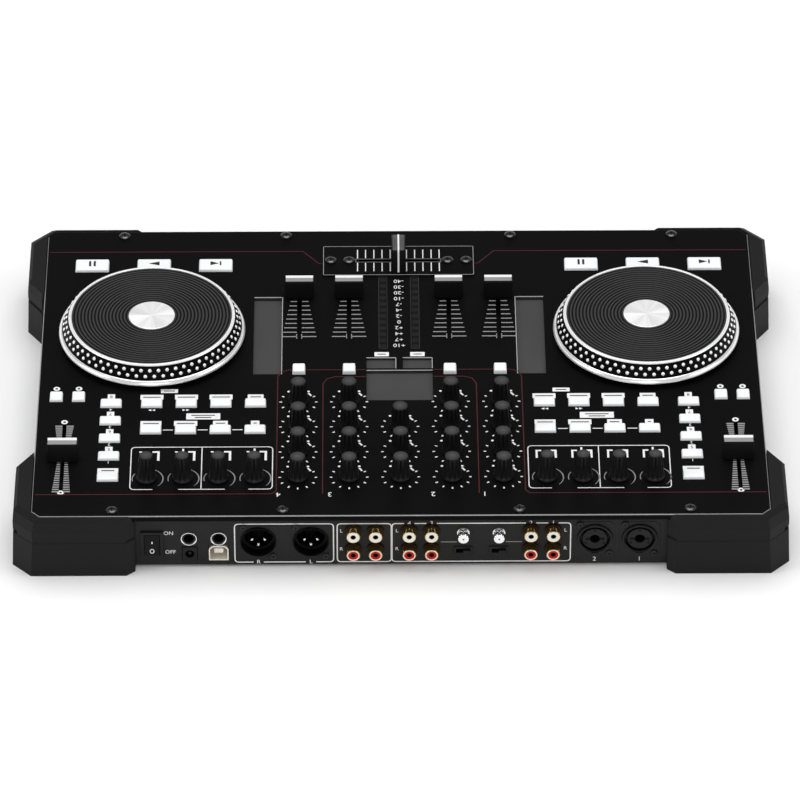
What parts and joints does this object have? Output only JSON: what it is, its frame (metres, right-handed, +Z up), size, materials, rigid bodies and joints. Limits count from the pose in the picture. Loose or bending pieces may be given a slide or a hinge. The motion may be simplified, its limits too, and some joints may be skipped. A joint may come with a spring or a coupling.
{
  "type": "dj mixer",
  "caption": "Flat DJ mixer with jog-wheel decks, faders, knobs and push keys on a folded steel panel, corner bumpers, and audio sockets along its rear wall.",
  "frame": {"origin": "on the floor, under the middle of the case", "axes": "+X to the user's right, +Y towards the rear connector wall, +Z up"},
  "size_m": [0.482, 0.311, 0.0615],
  "materials": {
    "panel_paint": "fine textured black",
    "tray_paint": "satin black",
    "bumper_plastic": "matte dark grey",
    "screw_steel": "blackened steel",
    "knob_rubber": "soft black",
    "fader_plastic": "satin black",
    "jog_plastic": "black with bright rings",
    "key_plastic": "white",
    "lens_plastic": "dark gloss",
    "touch_plastic": "matte grey",
    "board_laminate": "green laminate",
    "black_plastic": "black",
    "socket_metal": "nickel plate",
    "gold_plate": "gold plate"
  },
  "bodies": {
    "case": {"top_panel": "panel_paint", "base_tray": "tray_paint", "corner_bumpers": "bumper_plastic", "screws": "screw_steel", "crossfader_plate": "panel_paint", "jog_bases": "black_plastic", "meter_windows": "lens_plastic", "touch_pads": "touch_plastic", "control_board": "board_laminate", "switch_frames": "black_plastic", "dc_and_usb_sockets": "black_plastic", "jack_sockets": "socket_metal", "xlr_outputs": "black_plastic", "combo_inputs": "black_plastic", "rca_jacks": "gold_plate", "ground_posts": "socket_metal"},
    "channel_1_bass_knob_body": {"channel_1_bass_knob": "knob_rubber"},
    "channel_1_mid_knob_body": {"channel_1_mid_knob": "knob_rubber"},
    "channel_1_treble_knob_body": {"channel_1_treble_knob": "knob_rubber"},
    "channel_1_gain_knob_body": {"channel_1_gain_knob": "knob_rubber"},
    "channel_2_bass_knob_body": {"channel_2_bass_knob": "knob_rubber"},
    "channel_2_mid_knob_body": {"channel_2_mid_knob": "knob_rubber"},
    "channel_2_treble_knob_body": {"channel_2_treble_knob": "knob_rubber"},
    "channel_2_gain_knob_body": {"channel_2_gain_knob": "knob_rubber"},
    "channel_3_bass_knob_body": {"channel_3_bass_knob": "knob_rubber"},
    "channel_3_mid_knob_body": {"channel_3_mid_knob": "knob_rubber"},
    "channel_3_treble_knob_body": {"channel_3_treble_knob": "knob_rubber"},
    "channel_3_gain_knob_body": {"channel_3_gain_knob": "knob_rubber"},
    "channel_4_bass_knob_body": {"channel_4_bass_knob": "knob_rubber"},
    "channel_4_mid_knob_body": {"channel_4_mid_knob": "knob_rubber"},
    "channel_4_treble_knob_body": {"channel_4_treble_knob": "knob_rubber"},
    "channel_4_gain_knob_body": {"channel_4_gain_knob": "knob_rubber"},
    "balance_knob_body": {"balance_knob": "knob_rubber"},
    "booth_knob_body": {"booth_knob": "knob_rubber"},
    "master_knob_body": {"master_knob": "knob_rubber"},
    "left_effect_knob_1_body": {"left_effect_knob_1": "knob_rubber"},
    "left_effect_knob_2_body": {"left_effect_knob_2": "knob_rubber"},
    "left_effect_knob_3_body": {"left_effect_knob_3": "knob_rubber"},
    "left_effect_knob_4_body": {"left_effect_knob_4": "knob_rubber"},
    "right_effect_knob_1_body": {"right_effect_knob_1": "knob_rubber"},
    "right_effect_knob_2_body": {"right_effect_knob_2": "knob_rubber"},
    "right_effect_knob_3_body": {"right_effect_knob_3": "knob_rubber"},
    "right_effect_knob_4_body": {"right_effect_knob_4": "knob_rubber"},
    "channel_1_line_fader_body": {"channel_1_line_fader": "fader_plastic"},
    "channel_2_line_fader_body": {"channel_2_line_fader": "fader_plastic"},
    "channel_3_line_fader_body": {"channel_3_line_fader": "fader_plastic"},
    "channel_4_line_fader_body": {"channel_4_line_fader": "fader_plastic"},
    "crossfader_body": {"crossfader": "fader_plastic"},
    "left_pitch_fader_body": {"left_pitch_fader": "fader_plastic"},
    "right_pitch_fader_body": {"right_pitch_fader": "fader_plastic"},
    "left_jog_wheel_body": {"left_jog_wheel": "jog_plastic"},
    "right_jog_wheel_body": {"right_jog_wheel": "jog_plastic"},
    "power_rocker_body": {"power_rocker": "black_plastic"},
    "channel_3_level_slider_body": {"channel_3_level_slider": "black_plastic"},
    "channel_4_level_slider_body": {"channel_4_level_slider": "black_plastic"},
    "left_transport_buttons_body": {"left_transport_buttons": "key_plastic"},
    "right_transport_buttons_body": {"right_transport_buttons": "key_plastic"},
    "left_pad_buttons_body": {"left_pad_buttons": "key_plastic"},
    "right_pad_buttons_body": {"right_pad_buttons": "key_plastic"},
    "channel_cue_buttons_body": {"channel_cue_buttons": "key_plastic"}
  },
  "joints": [
    {"name": "channel_1_bass_knob_turn", "type": "hinge", "parent": "case", "child": "channel_1_bass_knob_body", "pos_m": [-0.0639, 0.0345, 0.0425], "axis": [0, 0, 1], "range_deg": [-150, 150]},
    {"name": "channel_1_mid_knob_turn", "type": "hinge", "parent": "case", "child": "channel_1_mid_knob_body", "pos_m": [-0.0639, 0.0602, 0.0425], "axis": [0, 0, 1], "range_deg": [-150, 150]},
    {"name": "channel_1_treble_knob_turn", "type": "hinge", "parent": "case", "child": "channel_1_treble_knob_body", "pos_m": [-0.0639, 0.0859, 0.0425], "axis": [0, 0, 1], "range_deg": [-150, 150]},
    {"name": "channel_1_gain_knob_turn", "type": "hinge", "parent": "case", "child": "channel_1_gain_knob_body", "pos_m": [-0.0639, 0.1116, 0.0425], "axis": [0, 0, 1], "range_deg": [-150, 150]},
    {"name": "channel_2_bass_knob_turn", "type": "hinge", "parent": "case", "child": "channel_2_bass_knob_body", "pos_m": [-0.032, 0.0345, 0.0425], "axis": [0, 0, 1], "range_deg": [-150, 150]},
    {"name": "channel_2_mid_knob_turn", "type": "hinge", "parent": "case", "child": "channel_2_mid_knob_body", "pos_m": [-0.032, 0.0602, 0.0425], "axis": [0, 0, 1], "range_deg": [-150, 150]},
    {"name": "channel_2_treble_knob_turn", "type": "hinge", "parent": "case", "child": "channel_2_treble_knob_body", "pos_m": [-0.032, 0.0859, 0.0425], "axis": [0, 0, 1], "range_deg": [-150, 150]},
    {"name": "channel_2_gain_knob_turn", "type": "hinge", "parent": "case", "child": "channel_2_gain_knob_body", "pos_m": [-0.032, 0.1116, 0.0425], "axis": [0, 0, 1], "range_deg": [-150, 150]},
    {"name": "channel_3_bass_knob_turn", "type": "hinge", "parent": "case", "child": "channel_3_bass_knob_body", "pos_m": [0.032, 0.0345, 0.0425], "axis": [0, 0, 1], "range_deg": [-150, 150]},
    {"name": "channel_3_mid_knob_turn", "type": "hinge", "parent": "case", "child": "channel_3_mid_knob_body", "pos_m": [0.032, 0.0602, 0.0425], "axis": [0, 0, 1], "range_deg": [-150, 150]},
    {"name": "channel_3_treble_knob_turn", "type": "hinge", "parent": "case", "child": "channel_3_treble_knob_body", "pos_m": [0.032, 0.0859, 0.0425], "axis": [0, 0, 1], "range_deg": [-150, 150]},
    {"name": "channel_3_gain_knob_turn", "type": "hinge", "parent": "case", "child": "channel_3_gain_knob_body", "pos_m": [0.032, 0.1116, 0.0425], "axis": [0, 0, 1], "range_deg": [-150, 150]},
    {"name": "channel_4_bass_knob_turn", "type": "hinge", "parent": "case", "child": "channel_4_bass_knob_body", "pos_m": [0.0639, 0.0345, 0.0425], "axis": [0, 0, 1], "range_deg": [-150, 150]},
    {"name": "channel_4_mid_knob_turn", "type": "hinge", "parent": "case", "child": "channel_4_mid_knob_body", "pos_m": [0.0639, 0.0602, 0.0425], "axis": [0, 0, 1], "range_deg": [-150, 150]},
    {"name": "channel_4_treble_knob_turn", "type": "hinge", "parent": "case", "child": "channel_4_treble_knob_body", "pos_m": [0.0639, 0.0859, 0.0425], "axis": [0, 0, 1], "range_deg": [-150, 150]},
    {"name": "channel_4_gain_knob_turn", "type": "hinge", "parent": "case", "child": "channel_4_gain_knob_body", "pos_m": [0.0639, 0.1116, 0.0425], "axis": [0, 0, 1], "range_deg": [-150, 150]},
    {"name": "balance_knob_turn", "type": "hinge", "parent": "case", "child": "balance_knob_body", "pos_m": [0, 0.0602, 0.0425], "axis": [0, 0, 1], "range_deg": [-150, 150]},
    {"name": "booth_knob_turn", "type": "hinge", "parent": "case", "child": "booth_knob_body", "pos_m": [0, 0.0859, 0.0425], "axis": [0, 0, 1], "range_deg": [-150, 150]},
    {"name": "master_knob_turn", "type": "hinge", "parent": "case", "child": "master_knob_body", "pos_m": [0, 0.1116, 0.0425], "axis": [0, 0, 1], "range_deg": [-150, 150]},
    {"name": "left_effect_knob_1_turn", "type": "hinge", "parent": "case", "child": "left_effect_knob_1_body", "pos_m": [-0.0908, 0.1125, 0.0425], "axis": [0, 0, 1], "range_deg": [-150, 150]},
    {"name": "left_effect_knob_2_turn", "type": "hinge", "parent": "case", "child": "left_effect_knob_2_body", "pos_m": [-0.1131, 0.1125, 0.0425], "axis": [0, 0, 1], "range_deg": [-150, 150]},
    {"name": "left_effect_knob_3_turn", "type": "hinge", "parent": "case", "child": "left_effect_knob_3_body", "pos_m": [-0.1354, 0.1125, 0.0425], "axis": [0, 0, 1], "range_deg": [-150, 150]},
    {"name": "left_effect_knob_4_turn", "type": "hinge", "parent": "case", "child": "left_effect_knob_4_body", "pos_m": [-0.1577, 0.1125, 0.0425], "axis": [0, 0, 1], "range_deg": [-150, 150]},
    {"name": "right_effect_knob_1_turn", "type": "hinge", "parent": "case", "child": "right_effect_knob_1_body", "pos_m": [0.0908, 0.1125, 0.0425], "axis": [0, 0, 1], "range_deg": [-150, 150]},
    {"name": "right_effect_knob_2_turn", "type": "hinge", "parent": "case", "child": "right_effect_knob_2_body", "pos_m": [0.1131, 0.1125, 0.0425], "axis": [0, 0, 1], "range_deg": [-150, 150]},
    {"name": "right_effect_knob_3_turn", "type": "hinge", "parent": "case", "child": "right_effect_knob_3_body", "pos_m": [0.1354, 0.1125, 0.0425], "axis": [0, 0, 1], "range_deg": [-150, 150]},
    {"name": "right_effect_knob_4_turn", "type": "hinge", "parent": "case", "child": "right_effect_knob_4_body", "pos_m": [0.1577, 0.1125, 0.0425], "axis": [0, 0, 1], "range_deg": [-150, 150]},
    {"name": "channel_1_line_fader_slide", "type": "slide", "parent": "case", "child": "channel_1_line_fader_body", "axis": [0, 1, 0], "range_m": [0, 0.045]},
    {"name": "channel_2_line_fader_slide", "type": "slide", "parent": "case", "child": "channel_2_line_fader_body", "axis": [0, 1, 0], "range_m": [0, 0.045]},
    {"name": "channel_3_line_fader_slide", "type": "slide", "parent": "case", "child": "channel_3_line_fader_body", "axis": [0, 1, 0], "range_m": [0, 0.045]},
    {"name": "channel_4_line_fader_slide", "type": "slide", "parent": "case", "child": "channel_4_line_fader_body", "axis": [0, 1, 0], "range_m": [0, 0.045]},
    {"name": "crossfader_slide", "type": "slide", "parent": "case", "child": "crossfader_body", "axis": [1, 0, 0], "range_m": [-0.0225, 0.0225]},
    {"name": "left_pitch_fader_slide", "type": "slide", "parent": "case", "child": "left_pitch_fader_body", "axis": [0, 1, 0], "range_m": [-0.03, 0.03]},
    {"name": "right_pitch_fader_slide", "type": "slide", "parent": "case", "child": "right_pitch_fader_body", "axis": [0, 1, 0], "range_m": [-0.03, 0.03]},
    {"name": "left_jog_wheel_spin", "type": "hinge", "parent": "case", "child": "left_jog_wheel_body", "pos_m": [-0.1578, -0.037, 0.0425], "axis": [0, 0, 1], "continuous": true},
    {"name": "right_jog_wheel_spin", "type": "hinge", "parent": "case", "child": "right_jog_wheel_body", "pos_m": [0.1578, -0.037, 0.0425], "axis": [0, 0, 1], "continuous": true},
    {"name": "power_rocker_tilt", "type": "hinge", "parent": "case", "child": "power_rocker_body", "pos_m": [0.154, 0.1455, 0.0186], "axis": [1, 0, 0], "range_deg": [-16, 0]},
    {"name": "channel_3_level_slider_slide", "type": "slide", "parent": "case", "child": "channel_3_level_slider_body", "axis": [1, 0, 0], "range_m": [0, 0.0042]},
    {"name": "channel_4_level_slider_slide", "type": "slide", "parent": "case", "child": "channel_4_level_slider_body", "axis": [1, 0, 0], "range_m": [0, 0.0042]},
    {"name": "left_transport_buttons_press", "type": "slide", "parent": "case", "child": "left_transport_buttons_body", "axis": [0, 0, 1], "range_m": [-0.0012, 0], "stiffness_N_per_m": 200, "springref_m": 0.002},
    {"name": "right_transport_buttons_press", "type": "slide", "parent": "case", "child": "right_transport_buttons_body", "axis": [0, 0, 1], "range_m": [-0.0012, 0], "stiffness_N_per_m": 200, "springref_m": 0.002},
    {"name": "left_pad_buttons_press", "type": "slide", "parent": "case", "child": "left_pad_buttons_body", "axis": [0, 0, 1], "range_m": [-0.0012, 0], "stiffness_N_per_m": 200, "springref_m": 0.002},
    {"name": "right_pad_buttons_press", "type": "slide", "parent": "case", "child": "right_pad_buttons_body", "axis": [0, 0, 1], "range_m": [-0.0012, 0], "stiffness_N_per_m": 200, "springref_m": 0.002},
    {"name": "channel_cue_buttons_press", "type": "slide", "parent": "case", "child": "channel_cue_buttons_body", "axis": [0, 0, 1], "range_m": [-0.0012, 0], "stiffness_N_per_m": 200, "springref_m": 0.002}
  ]
}
